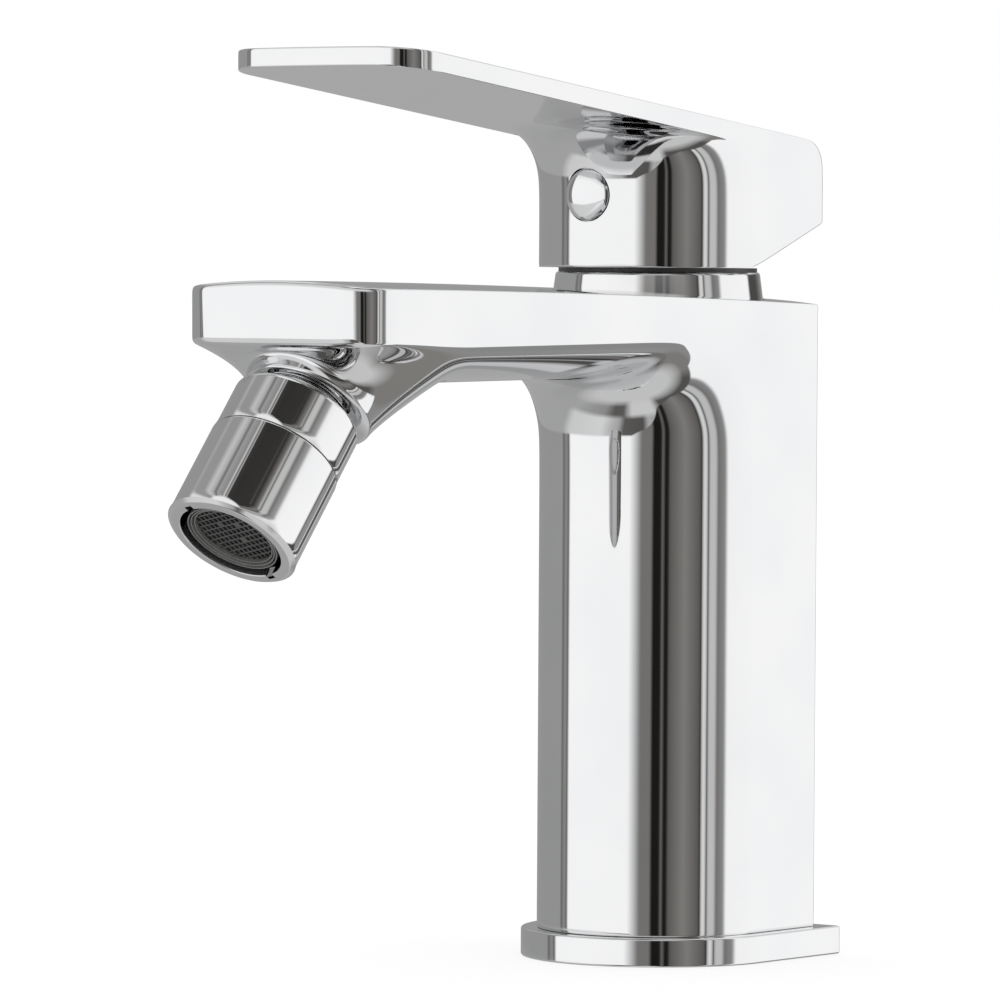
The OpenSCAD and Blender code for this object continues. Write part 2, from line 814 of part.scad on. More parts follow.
module nipple_seal() {
    color(rubber)
    at_outlet()
        ring(nipple_r, nipple_bore / 2, boss_end + nipple_h, boss_end + nipple_h + port_seal_t);
}

// Part of a spherical shell between two heights
module ball_band(low, high) {
    rotate_extrude()
        intersection() {
            difference() {
                circle(r = seat_out_r);
                circle(r = seat_in_r);
            }
            translate([0, low])
                square([2 * ball_r, high - low]);
        }
}

module ball_seat() {
    color(acetal)
    at_outlet()
        ball_band(seat_low, seat_high);
}

module ball_seal() {
    color(rubber)
    at_outlet()
        ball_band(seal_low, seal_high);
}

module socket_nut() {
    mouth_z = nut_top - mouth_h;
    color(chrome)
    at_outlet()
        rotate_extrude()
            difference() {
                union() {
                    translate([0, joint_z])
                        square([socket_r, nut_top - shoulder_r - joint_z]);
                    translate([0, joint_z])
                        square([socket_r - shoulder_r, nut_top - joint_z]);
                    translate([socket_r - shoulder_r, nut_top - shoulder_r])
                        circle(r = shoulder_r);
                }
                circle(r = pocket_r);
                // Thread for the shell
                translate([0, joint_z - 1])
                    square([thread_r + fit, thread_h + 1 + fit]);
                // Open mouth around the ball neck
                polygon([[0, mouth_z], [mouth_low_d / 2, mouth_z],
                         [mouth_d / 2, nut_top + eps], [0, nut_top + eps]]);
            }
}

module aerator_shell() {
    color(chrome)
    at_outlet()
        difference() {
            rotate_extrude()
                difference() {
                    union() {
                        polygon([[0, -rim_drop],
                                 [shell_r - rim_bevel, -rim_drop],
                                 [shell_r, rim_bevel - rim_drop],
                                 [shell_r, joint_z - shell_step],
                                 [shell_r - shell_step, joint_z],
                                 [0, joint_z]]);
                        translate([0, joint_z - 1])
                            square([thread_r, thread_h + 1]);
                    }
                    circle(r = pocket_r);
                    translate([0, -rim_drop - 1])
                        square([throat_r, rim_drop + 1]);
                    translate([0, -rim_drop - 1])
                        square([outlet_r, rim_drop + 1 + chamber_end]);
                }
            // Two key notches in the rim
            for (side = [-1, 1])
                rotate([0, 0, key_turn])
                    translate([side * outlet_r - notch_t, -notch_w / 2, -rim_drop - 1])
                        cube([2 * notch_t, notch_w, 1 + insert_back + 1]);
        }
}

module aerator_washer() {
    color(rubber)
    at_outlet()
        ring(insert_r, throat_r, insert_top + fit, insert_top + fit + washer_t);
}

module aerator_insert() {
    color("gray")
    at_outlet() {
        ring(insert_r, insert_bore_r, insert_low, insert_top);
        // Lip that carries the grille, and the jet plate above it
        lip_z = insert_low + 2 * grille_t;
        ring(insert_r - eps, insert_bore_r - grille_lip, lip_z, lip_z + grille_t);
        difference() {
            translate([0, 0, insert_top - jet_plate_t - eps])
                cylinder(r = insert_r - eps, h = jet_plate_t);
            for (i = [0:jet_count - 1])
                rotate([0, 0, 360 * i / jet_count])
                    translate([jet_ring_r, 0, insert_top - 2 * jet_plate_t])
                        cylinder(d = jet_d, h = 3 * jet_plate_t);
        }
    }
}

module aerator_grille() {
    grille_r = insert_bore_r - fit;
    pitch = 2 * grille_r / (grille_bars + 1);
    color("darkslategray")
    at_outlet()
        translate([0, 0, insert_low + grille_t - fit]) {
            ring(grille_r, grille_r - grille_lip, 0, grille_t);
            intersection() {
                cylinder(r = grille_r - grille_lip / 2, h = grille_t);
                for (turn = [0, 90], i = [1:grille_bars])
                    rotate([0, 0, turn + key_turn])
                        translate([i * pitch - grille_r - grille_bar / 2, -grille_r, 0])
                            cube([grille_bar, 2 * grille_r, grille_t]);
            }
        }
}

body_casting();
base_flange();
base_gasket();
retaining_nut();
collar();
slip_ring();
cartridge_base();
port_seals();
cartridge_housing();
fixed_disc();
cartridge_rotor();
stem_pin();
disc_carrier();
moving_disc();
cartridge_stem();
handle();
handle_bush();
set_screw();
screw_cap();
ball_nipple();
nipple_seal();
ball_seat();
ball_seal();
socket_nut();
aerator_shell();
aerator_washer();
aerator_insert();
aerator_grille();
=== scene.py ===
"""Bidet mixer: chrome casting, lever and swivel aerator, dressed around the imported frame."""
import json
from math import atan2, cos, pi, radians, sin, sqrt, tan

import bmesh
import bpy
from mathutils import Matrix, Vector


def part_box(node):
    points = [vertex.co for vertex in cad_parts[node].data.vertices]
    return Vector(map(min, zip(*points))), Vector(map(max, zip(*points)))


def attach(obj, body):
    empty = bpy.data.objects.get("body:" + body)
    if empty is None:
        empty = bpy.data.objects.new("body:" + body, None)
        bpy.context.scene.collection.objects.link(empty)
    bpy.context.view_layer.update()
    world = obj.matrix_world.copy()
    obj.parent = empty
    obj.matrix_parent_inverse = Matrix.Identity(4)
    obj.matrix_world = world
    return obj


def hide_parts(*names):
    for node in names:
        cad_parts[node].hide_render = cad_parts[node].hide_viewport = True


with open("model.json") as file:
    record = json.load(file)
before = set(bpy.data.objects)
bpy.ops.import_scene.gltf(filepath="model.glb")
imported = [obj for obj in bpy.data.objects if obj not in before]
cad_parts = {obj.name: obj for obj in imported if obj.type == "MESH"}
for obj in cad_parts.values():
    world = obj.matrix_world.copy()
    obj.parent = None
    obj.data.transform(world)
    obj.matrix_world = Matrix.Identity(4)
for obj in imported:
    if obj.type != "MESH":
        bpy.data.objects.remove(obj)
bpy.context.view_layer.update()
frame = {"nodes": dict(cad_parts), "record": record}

# Lengths below are in millimetres, and MM brings them to metres
MM = 0.001


def corners(node):
    """Lowest and highest corner of a CAD node, in millimetres."""
    low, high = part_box(node)
    return Vector(low) / MM, Vector(high) / MM


body_low, body_high = corners("body_casting")
flange_low, flange_high = corners("base_flange")
collar_low, collar_high = corners("collar")
handle_low, handle_high = corners("handle")
bush_low, bush_high = corners("handle_bush")

# Column and spout
HALF_W = body_high.x
BODY_REAR = body_high.y
SPOUT_REACH = -body_low.y
FOOT_Z = flange_high.z
BODY_H = 124.9
TOP_RISE = 3.0
TOP_EASE = 0.7
CROWN_H = 1.3
FLANK_T = 9.4
FLANK_LOW = BODY_H + TOP_RISE - FLANK_T
BELLY_DROP = 7.8
# Share of the belly's drop that is gone again at the nose
BELLY_FADE = 0.85
SPOUT_ROOT_Y = -8.0
BODY_FILLET_R = 11.0
FLANK_FILLET_GAIN = 11.0
NOSE_REACH = SPOUT_REACH + 0.3
NOSE_DROP = 0.7
TIP_CORNER_R = 7.0
TIP_BULGE = 0.3
BODY_EDGE = 0.6
NOSE_TOP_EDGE = 1.9
NOSE_EDGE = 1.6
FLANGE_EDGE = 0.4

# How far boring tools run past the metal
OVERSHOOT = 5.0
SMALL_OVERSHOOT = 1.0

# Sockets inside the casting
SPIGOT_R = 16.8
SPIGOT_LOW = body_low.z
SPIGOT_ROOT = 6.0
SPIGOT_GAP = 0.1
HOSE_CHAMBER_R = 14.0
HOSE_CHAMBER_TOP = 60.0
INLET_R = 5.0
INLET_TOP = 74.0
INLET_X = 6.6
INLET_Y = 4.0
STUD_R = 4.0
STUD_TOP = 80.0
STUD_Y = -8.5
CARTRIDGE_R = 17.7
CARTRIDGE_SEAT_Z = 97.1
NUT_HOLE_R = 19.3
NUT_SHOULDER_Z = 117.8
COLLAR_HOLE_R = 20.5
SOCKET_CUT = 20.0

# Collar round the cartridge
COLLAR_R = collar_high.x
COLLAR_TOP_R = 19.5
COLLAR_BORE_R = 16.7
COLLAR_EYE_R = 14.2
COLLAR_LIP = 1.6

# Lever handle
HUB_Z = handle_low.z
HUB_H = 27.0
HUB_REAR = handle_high.y
HUB_FRONT = HALF_W - 0.1
HUB_SQUARENESS = 2.1
LEVER_REACH = 1.5 - handle_low.y
LEVER_T = 3.6
LEVER_SLOPE_DEG = 6.9
LEVER_SLOPE = radians(LEVER_SLOPE_DEG)
LEVER_ROOT_Y = 6.0
LEVER_CORNER_R = 8.5
LEVER_BULGE = 0.8
LEVER_FILLET_R = 11.0
HUB_CORNER_R = 5.5
RELIEF_Y = 0.4
RELIEF_SLOPE = radians(21.5)
RELIEF_TOP = HUB_Z + (HUB_REAR - RELIEF_Y) * tan(RELIEF_SLOPE)
HANDLE_EDGE = 0.5
HANDLE_TOP_EDGE = 0.9
HUB_EDGE = 0.8
HUB_HOLLOW_R = 19.9
HUB_HOLLOW_H = 8.0
BUSH_GAP = 0.1
SCREW_Z = HUB_Z + 13.8
SCREW_HOLE_R = 2.6
SCREW_HOLE_END = 5.0

# Button over the set screw
CAP_R = 4.95
CAP_GAP = 0.16
CAP_SEAT = 2.5
CAP_LIFT = 0.3
CAP_RIM = HUB_FRONT - 0.1
CAP_RIM_EDGE = 0.1
CAP_DOME = 1.0
# Shares of the button's radius and of its dome's height, from the rim to the middle
CAP_CURVE = [
    (0.995, 0.08), (0.97, 0.2), (0.9, 0.42), (0.78, 0.62), (0.6, 0.8), (0.4, 0.92), (0.2, 0.98), (0.0, 1.0),
]

# Outlet with its ball joint, heights along the outlet axis from the ball centre
BALL_INSET = 4.1
BALL_DROP = 9.5
BALL = Vector((0.0, -SPOUT_REACH + BALL_INSET, FLANK_LOW - BELLY_DROP - BALL_DROP))
OUTLET_TILT = radians(39.0)
BOSS_END = 7.7
BOSS_R = 12.3
BOSS_SHIFT = 1.5
BOSS_BOW = 3.0
BOSS_LIP_R = 10.5
BOSS_EASE = 0.6
BOSS_LIP = 0.05
BOSS_LIP_EDGE = 0.2
BOSS_BORE_R = 8.35
BOSS_BORE_EDGE = 0.3
BOSS_BORE_DEPTH = 6.0
NUT_R = 12.05
NUT_TOP = 5.5
NUT_SHOULDER_R = 1.5
NUT_MOUTH_R = 9.8
SOCKET_R = 9.4
SOCKET_TOP = 4.3
JOINT_H = -4.7
JOINT_GAP = 0.05
JOINT_STEP = 0.35
THREAD_R = 10.6
THREAD_GAP = 0.1
THREAD_TOP = -1.6
SHELL_R = 12.3
RIM_H = -24.0
RIM_BEVEL = 0.7
OUTLET_R = 9.8
THROAT_R = 6.5
CHAMBER_TOP = RIM_H + 11.9
NOTCH_W = 1.8
NOTCH_T = 1.0
NOTCH_H = 1.8
INSERT_R = 8.75
INSERT_LOW = RIM_H + 0.8
INSERT_TOP = INSERT_LOW + 9.4
# Ridges round the insert's lower face, from the inside out, with heights over its lower edge
RIDGE_CRESTS = (0.5, 0.2)
RIDGE_PITCH = 0.54
RIDGE_W = 0.22
RIDGE_SLANT = 0.04
RIDGE_EDGE = 0.06
GROOVE_H = 1.2
GRILLE_R = 7.4
GRILLE_GAP = 0.05
GRILLE_LOW = INSERT_LOW + 1.1
GRILLE_T = 1.2
GRILLE_CELLS = 12
GRILLE_BAR = 0.3
# Turn of the insert and its grid about the outlet axis
INSERT_TURN = radians(-17.0)

outlet_place = Matrix.Translation(BALL) @ Matrix.Rotation(-OUTLET_TILT, 4, "X")
cap_place = Matrix.Translation((0.0, 0.0, SCREW_Z)) @ Matrix.Rotation(pi / 2, 4, "X")
outlet_up = Vector((0.0, sin(OUTLET_TILT), cos(OUTLET_TILT)))
outlet_back = Vector((0.0, cos(OUTLET_TILT), -sin(OUTLET_TILT)))
boss_centre = BALL + outlet_up * BOSS_END


# Modelling helpers

def pick(obj):
    """Make obj the only selected object and the active one."""
    bpy.ops.object.select_all(action="DESELECT")
    obj.select_set(True)
    bpy.context.view_layer.objects.active = obj


def edit(obj):
    """Go into edit mode with the whole of obj selected."""
    pick(obj)
    bpy.ops.object.mode_set(mode="EDIT")
    bpy.ops.mesh.select_all(action="SELECT")


def leave_edit():
    bpy.ops.object.mode_set(mode="OBJECT")


def close_up(obj, gap=0.002):
    """Merge what coincides and point the faces outwards."""
    edit(obj)
    bpy.ops.mesh.remove_doubles(threshold=gap * MM)
    bpy.ops.mesh.select_all(action="SELECT")
    bpy.ops.mesh.normals_make_consistent(inside=False)
    leave_edit()


def apply_modifier(obj, modifier):
    pick(obj)
    bpy.ops.object.modifier_apply(modifier=modifier.name)


def round_over(obj, levels=3):
    """Subdivide the cage into its smooth surface."""
    modifier = obj.modifiers.new("round_over", "SUBSURF")
    modifier.levels = modifier.render_levels = levels
    apply_modifier(obj, modifier)


def combine(obj, tool, operation):
    """Cut the tool out of obj, or weld it on, and drop the tool."""
    modifier = obj.modifiers.new("machining", "BOOLEAN")
    modifier.object = tool
    modifier.operation = operation
    modifier.solver = "EXACT"
    apply_modifier(obj, modifier)
    bpy.data.objects.remove(tool, do_unlink=True)


def shade(obj, angle=32.0):
    """Smooth the surface up to an angle in degrees and keep flat faces flat."""
    pick(obj)
    bpy.ops.object.shade_smooth_by_angle(angle=radians(angle))
    modifier = obj.modifiers.new("flat_faces", "WEIGHTED_NORMAL")
    modifier.keep_sharp = True
    apply_modifier(obj, modifier)


# An ease takes up at most this share of the side next to it
EASE_LIMIT = 0.45
# Steps round a small bore and round a large visible piece
SMALL_STEPS = 48
FINE_STEPS = 160


def eased(profile, steps=4):
    """Closed lathe profile of (radius, height, ease) points with each corner rounded by its ease."""
    rounded = []
    for i, (r, h, ease) in enumerate(profile):
        corner = Vector((r, h))
        before = Vector(profile[i - 1][:2]) - corner
        after = Vector(profile[(i + 1) % len(profile)][:2]) - corner
        ease = min(ease, EASE_LIMIT * before.length, EASE_LIMIT * after.length)
        if ease <= 0:
            rounded.append(corner)
            continue
        start, end = corner + before.normalized() * ease, corner + after.normalized() * ease
        for k in range(steps + 1):
            t = k / steps
            rounded.append(start * (1 - t) ** 2 + corner * (2 * t * (1 - t)) + end * t ** 2)
    return rounded


def turned(name, profile, place=Matrix.Identity(4), steps=128):
    """A lathe piece: a ring of points is set to the profile, spun about its axis and put in place."""
    bpy.ops.object.select_all(action="DESELECT")
    bpy.ops.mesh.primitive_circle_add(vertices=len(profile), radius=1.0)
    obj = bpy.context.object
    obj.name = name
    for vertex, (r, h) in zip(obj.data.vertices, profile):
        vertex.co = Vector((max(r, 0.0), 0.0, h)) * MM
    edit(obj)
    bpy.ops.mesh.spin(steps=steps, angle=2 * pi, center=(0, 0, 0), axis=(0, 0, 1))
    leave_edit()
    close_up(obj)
    to_metres = place.copy()
    to_metres.translation = place.translation * MM
    obj.data.transform(to_metres)
    return obj


def plug(name, radius, low, high, place=Matrix.Identity(4), steps=96):
    """A plain round tool for boring a hole."""
    outline = [Vector((0.0, low)), Vector((radius, low)), Vector((radius, high)), Vector((0.0, high))]
    return turned(name, outline, place, steps)


def block(name, low, high):
    """A square tool between two corners."""
    bpy.ops.object.select_all(action="DESELECT")
    low, high = Vector(low) * MM, Vector(high) * MM
    bpy.ops.mesh.primitive_cube_add(size=1.0, location=(0, 0, 0))
    obj = bpy.context.object
    obj.name = name
    obj.data.transform(Matrix.Translation((low + high) / 2) @ Matrix.Diagonal((*(high - low), 1.0)))
    return obj


# Marks that each point of an extruded section carries
TAGS = ("column", "row", "station")


def tag_layers(mesh):
    return [mesh.verts.layers.int[tag] for tag in TAGS]


def settle(obj, place, station=None):
    """Move the selected points of the mesh in hand to place(column, row, station)."""
    mesh = bmesh.from_edit_mesh(obj.data)
    column, row, level = tag_layers(mesh)
    for vertex in mesh.verts:
        if vertex.select:
            if station is not None:
                vertex[level] = station
            vertex.co = Vector(place(vertex[column], vertex[row], vertex[level])) * MM
    bmesh.update_edit_mesh(obj.data)


def extruded_section(name, columns, rows, stations, place):
    """A grid section extruded from station to station, with place(column, row, station) in millimetres."""
    bpy.ops.object.select_all(action="DESELECT")
    bpy.ops.mesh.primitive_grid_add(x_subdivisions=columns, y_subdivisions=rows, size=2.0)
    obj = bpy.context.object
    obj.name = name
    edit(obj)
    mesh = bmesh.from_edit_mesh(obj.data)
    for tag in TAGS:
        mesh.verts.layers.int.new(tag)
    column, row = tag_layers(mesh)[:2]
    for vertex in mesh.verts:
        vertex[column] = round((vertex.co.x + 1) / 2 * columns)
        vertex[row] = round((vertex.co.y + 1) / 2 * rows)
    bmesh.update_edit_mesh(obj.data)
    for station in range(stations):
        if station:
            bpy.ops.mesh.extrude_region_move()
        settle(obj, lambda a, b, c: place(a, b, station), station)
    leave_edit()
    return obj


def mix(a, b, share):
    return a + (b - a) * share


# Shape of the casting

BODY_COLUMNS = 16
BODY_ROWS = 5
CORNER_COLUMNS = 5
# A subdivided arc shrinks a little, and this makes up for it
ROUND_GAIN = 3.0 / (2.0 + cos(pi / BODY_COLUMNS))
MIDDLE_ROWS = (0.35, 0.65)


def row_share(row, top_edge, low_edge):
    """Share of the way down a section, with one row close to either edge."""
    return (0.0, top_edge, *MIDDLE_ROWS, 1.0 - low_edge, 1.0)[row]


def round_x(column, columns):
    return -HALF_W * cos(pi * column / columns)


def flat_x(column, columns, corner):
    """Columns of a flat face: close together round its two front corners and even between them."""
    side = -1 if column < columns / 2 else 1
    step = min(column, columns - column)
    if step <= CORNER_COLUMNS:
        return side * (HALF_W - corner + corner * cos(pi / 2 * step / CORNER_COLUMNS))
    return side * (HALF_W - corner) * (columns / 2 - step) / (columns / 2 - CORNER_COLUMNS)


def depth_at(x, squareness=2.0):
    return max(0.0, 1.0 - abs(x / HALF_W) ** squareness) ** (1 / squareness)


def tip_at(x, reach, corner, bulge):
    """Outline of a slab's front end seen from above."""
    past = max(0.0, abs(x) - (HALF_W - corner))
    return -reach + bulge * (x / HALF_W) ** 2 + corner - sqrt(max(0.0, corner ** 2 - past ** 2))


def spout_tip(x):
    return tip_at(x, NOSE_REACH, TIP_CORNER_R, TIP_BULGE)


def spout_top(x, y):
    run = (BODY_REAR - y) / (BODY_REAR + SPOUT_REACH)
    rise = TOP_RISE * ((1 + TOP_EASE) * run - TOP_EASE * run ** 2)
    return BODY_H + rise + CROWN_H * (1 - (x / HALF_W) ** 2)


# Shares of the spout's length, and the one where the boss opens
BOSS_OPENING = 0.545
BELLY_SHARES = (0.12, 0.25, 0.38, 0.48, BOSS_OPENING, 0.62, 0.7, 0.78, 0.86, 0.93, 1.0)
# Stations along the casting from the foot to the nose: lower edge, its value, rear or top edge, its value
BODY_STATIONS = [
    ("column", FOOT_Z, "rear", FOOT_Z),
    ("column", FOOT_Z + 0.5, "rear", FOOT_Z + 0.5),
    ("column", 30.0, "rear", 30.0),
    ("column", 60.0, "rear", 60.0),
    ("column", 85.0, "rear", 88.0),
    ("fillet", 0.0, "rear", 104.0),
    ("fillet", 15.0, "rear", 115.0),
    ("fillet", 32.0, "corner", -BODY_EDGE),
    ("fillet", 42.0, "corner", 0.0),
    ("fillet", 52.0, "top", BODY_REAR - BODY_EDGE),
    ("fillet", 65.0, "top", 12.0),
    ("fillet", 78.0, "top", 2.0),
    ("fillet", 90.0, "top", SPOUT_ROOT_Y),
    *[("belly", share, "reach", share) for share in BELLY_SHARES],
    ("nose", 0.0, "nose", 0.0),
]
# The boss opens in the belly between these stations
BOSS_FIRST = BODY_STATIONS.index(("belly", BOSS_OPENING, "reach", BOSS_OPENING))
BOSS_LAST = len(BODY_STATIONS) - 2
BOSS_SWEEP = 0.3


def swept(x, share):
    """Share of the spout's length, with the rear of the boss drawn forward along the flanks."""
    moved = BOSS_OPENING + BOSS_SWEEP * (1 - depth_at(x))
    if share < BOSS_OPENING:
        return share * moved / BOSS_OPENING
    return mix(moved, 1.0, (share - BOSS_OPENING) / (1 - BOSS_OPENING))


def fillet_radius(x):
    """Radius of the inner corner, wider towards the flanks."""
    return BODY_FILLET_R + FLANK_FILLET_GAIN * (1 - depth_at(x))


def body_under(x, station):
    """Point on the column's front, the inner fillet or the belly."""
    kind, value = BODY_STATIONS[station][:2]
    front = -HALF_W * depth_at(x) * ROUND_GAIN
    if kind == "column":
        return Vector((x, front, value))
    belly = FLANK_LOW - BELLY_DROP * depth_at(x)
    if kind == "fillet":
        angle = radians(value)
        radius = fillet_radius(x)
        return Vector((x, front - radius * (1 - cos(angle)), belly - radius * (1 - sin(angle))))
    if kind == "nose":
        return Vector((x, spout_tip(x), FLANK_LOW - NOSE_DROP))
    start = front - fillet_radius(x)
    fade = 1.0 - BELLY_FADE * max(0.0, (value - BOSS_OPENING) / (1.0 - BOSS_OPENING))
    along = swept(x, value)
    y = mix(start, spout_tip(x) + NOSE_EDGE, along)
    return Vector((x, y, mix(FLANK_LOW, belly, fade) - NOSE_DROP * along))


def body_over(x, station):
    """Point on the column's rear face or the spout's top."""
    kind, value = BODY_STATIONS[station][2:]
    if kind == "rear":
        return Vector((x, BODY_REAR, value))
    if kind == "corner":
        return Vector((x, BODY_REAR, spout_top(x, BODY_REAR) + value))
    if kind == "nose":
        y = spout_tip(x)
    elif kind == "reach":
        y = mix(SPOUT_ROOT_Y, spout_tip(x) + NOSE_TOP_EDGE, swept(x, value))
    else:
        y = value
    return Vector((x, y, spout_top(x, y)))


def body_point(column, row, station):
    over = body_over(flat_x(column, BODY_COLUMNS, TIP_CORNER_R), station)
    under = body_under(round_x(column, BODY_COLUMNS), station)
    length = (over - under).length
    kind, value = BODY_STATIONS[station][:2]
    reach = {"belly": value, "nose": 1.0}.get(kind, 0.0)
    top_edge, low_edge = mix(BODY_EDGE, NOSE_TOP_EDGE, reach), mix(BODY_EDGE, NOSE_EDGE, reach)
    point = over.lerp(under, row_share(row, top_edge / length, low_edge / length))
    if kind == "nose":
        point.y = spout_tip(point.x)
    return point


# Rings of the outlet boss: share of the way from belly to end, height over the end, radius, shift back
BOSS_RINGS = [
    *[(share, BOSS_EASE, BOSS_R, BOSS_SHIFT) for share in (0.15, 0.35, 0.55, 0.75, 0.92, 1.0)],
    *[(1.0, up * BOSS_EASE, mix(BOSS_R, BOSS_LIP_R, inward), back * BOSS_SHIFT)
      for up, inward, back in ((0.5, 0.3, 0.7), (0.2, 0.6, 0.4), (0.0, 0.9, 0.1))],
    (1.0, -BOSS_LIP, BOSS_LIP_R - BOSS_LIP_EDGE, 0.0),
    (1.0, -BOSS_LIP, BOSS_BORE_R + BOSS_BORE_EDGE, 0.0),
    (1.0, BOSS_BORE_EDGE - BOSS_LIP, BOSS_BORE_R, 0.0),
    (1.0, BOSS_BORE_DEPTH, BOSS_BORE_R, 0.0),
]


def boss_point(opening, share, height, radius, shift):
    """Point of one boss ring, on a curve that starts along the belly and ends along the outlet."""
    away = opening - boss_centre
    angle = atan2(away.dot(outlet_back), away.x)
    spoke = Vector((cos(angle), 0, 0)) + outlet_back * sin(angle)
    end = boss_centre + outlet_up * height + outlet_back * shift + spoke * radius
    bend = end + outlet_up * BOSS_BOW
    return opening.lerp(bend, share).lerp(bend.lerp(end, share), share)


def grow_boss(obj):
    """Open the belly and draw the rim of the opening down to the outlet boss."""
    edit(obj)
    bpy.ops.mesh.select_mode(type="FACE")
    bpy.ops.mesh.select_all(action="DESELECT")
    mesh = bmesh.from_edit_mesh(obj.data)
    column, row, level = tag_layers(mesh)
    for face in mesh.faces:
        face.select = all(
            v[row] == BODY_ROWS and 0 < v[column] < BODY_COLUMNS and BOSS_FIRST <= v[level] <= BOSS_LAST
            for v in face.verts)
    bmesh.update_edit_mesh(obj.data)
    bpy.ops.mesh.delete(type="FACE")
    bpy.ops.mesh.select_mode(type="EDGE")
    mesh = bmesh.from_edit_mesh(obj.data)
    for edge in mesh.edges:
        edge.select = edge.is_boundary
    bmesh.update_edit_mesh(obj.data)
    for ring in BOSS_RINGS:
        bpy.ops.mesh.extrude_region_move()
        settle(obj, lambda a, b, c: boss_point(body_point(a, b, c), *ring))
    bpy.ops.mesh.edge_face_add()
    bpy.ops.mesh.select_mode(type="VERT")
    leave_edit()


def make_body():
    obj = extruded_section("body_chrome", BODY_COLUMNS, BODY_ROWS, len(BODY_STATIONS), body_point)
    grow_boss(obj)
    close_up(obj)
    round_over(obj)
    combine(obj, plug("spigot", SPIGOT_R, SPIGOT_LOW, FOOT_Z + SPIGOT_ROOT), "UNION")
    combine(obj, plug("hose_chamber", HOSE_CHAMBER_R, -OVERSHOOT, HOSE_CHAMBER_TOP), "DIFFERENCE")
    start_z, open_z = HOSE_CHAMBER_TOP - OVERSHOOT, HUB_Z + SOCKET_CUT
    for side in (-1, 1):
        at = Matrix.Translation((side * INLET_X, INLET_Y, 0))
        combine(obj, plug("inlet", INLET_R, start_z, INLET_TOP, at, SMALL_STEPS), "DIFFERENCE")
    at = Matrix.Translation((0, STUD_Y, 0))
    combine(obj, plug("stud", STUD_R, start_z, STUD_TOP, at, SMALL_STEPS), "DIFFERENCE")
    socket = [(0, CARTRIDGE_SEAT_Z), (CARTRIDGE_R, CARTRIDGE_SEAT_Z), (CARTRIDGE_R, NUT_SHOULDER_Z),
              (NUT_HOLE_R, NUT_SHOULDER_Z), (NUT_HOLE_R, collar_low.z), (COLLAR_HOLE_R, collar_low.z),
              (COLLAR_HOLE_R, open_z), (0, open_z)]
    combine(obj, turned("cartridge_socket", [Vector(p) for p in socket]), "DIFFERENCE")
    return obj


# Shape of the handle

HANDLE_COLUMNS = 16
HANDLE_ROWS = 5
LEVER_LEAN = 90.0 - LEVER_SLOPE_DEG


def lever_tip(x):
    return tip_at(x, LEVER_REACH, LEVER_CORNER_R, LEVER_BULGE)


def lever_top(y):
    return HUB_Z + HUB_H - tan(LEVER_SLOPE) * y


# Stations along the handle from the hub's foot to the lever's tip, as for the casting
HANDLE_STATIONS = [
    ("foot", HUB_Z, "rear", RELIEF_TOP),
    ("foot", HUB_Z + HUB_EDGE, "rear", RELIEF_TOP + HUB_EDGE),
    ("foot", HUB_Z + 6.0, "rear", RELIEF_TOP + 4.0),
    ("fillet", 0.0, "corner", 0.0),
    ("fillet", 18.0, "corner", 21.0),
    ("fillet", 36.0, "corner", 42.0),
    ("fillet", 54.0, "corner", 63.0),
    ("fillet", 70.0, "corner", LEVER_LEAN),
    ("fillet", LEVER_LEAN, "top", LEVER_ROOT_Y),
    *[("plate", share, "reach", share) for share in (0.12, 0.3, 0.5, 0.7, 0.88, 1.0)],
    ("tip", 0.0, "tip", 0.0),
]


def plate_share(station):
    """How far the lower edge has gone from the round hub to the crisp lever plate."""
    kind, value = HANDLE_STATIONS[station][:2]
    if kind == "foot":
        return 0.0
    if kind != "fillet":
        return 1.0
    t = value / LEVER_LEAN
    return t * t * (3 - 2 * t)


def handle_under(x, station):
    """Point on the hub's front, the fillet or the lever's underside."""
    kind, value = HANDLE_STATIONS[station][:2]
    front = -HUB_FRONT * depth_at(x, HUB_SQUARENESS) * ROUND_GAIN
    if kind == "foot":
        return Vector((x, front, value))
    centre_y = front - LEVER_FILLET_R
    centre_z = lever_top(centre_y) - LEVER_T - LEVER_FILLET_R / cos(LEVER_SLOPE)
    angle = radians(value if kind == "fillet" else LEVER_LEAN)
    y, z = centre_y + LEVER_FILLET_R * cos(angle), centre_z + LEVER_FILLET_R * sin(angle)
    if kind == "fillet":
        return Vector((x, y, z))
    y = lever_tip(x) if kind == "tip" else mix(y, lever_tip(x) + HANDLE_EDGE, value)
    return Vector((x, y, lever_top(y) - LEVER_T))


def handle_over(x, station):
    """Point on the hub's rear face, its rounded rear corner or the lever's top."""
    kind, value = HANDLE_STATIONS[station][2:]
    if kind == "rear":
        return Vector((x, HUB_REAR, value))
    if kind == "corner":
        centre_y = HUB_REAR - HUB_CORNER_R
        centre_z = lever_top(centre_y) - HUB_CORNER_R / cos(LEVER_SLOPE)
        angle = radians(value)
        return Vector((x, centre_y + HUB_CORNER_R * cos(angle), centre_z + HUB_CORNER_R * sin(angle)))
    if kind == "tip":
        y = lever_tip(x)
    elif kind == "reach":
        y = mix(LEVER_ROOT_Y, lever_tip(x) + HANDLE_EDGE, value)
    else:
        y = value
    return Vector((x, y, lever_top(y)))


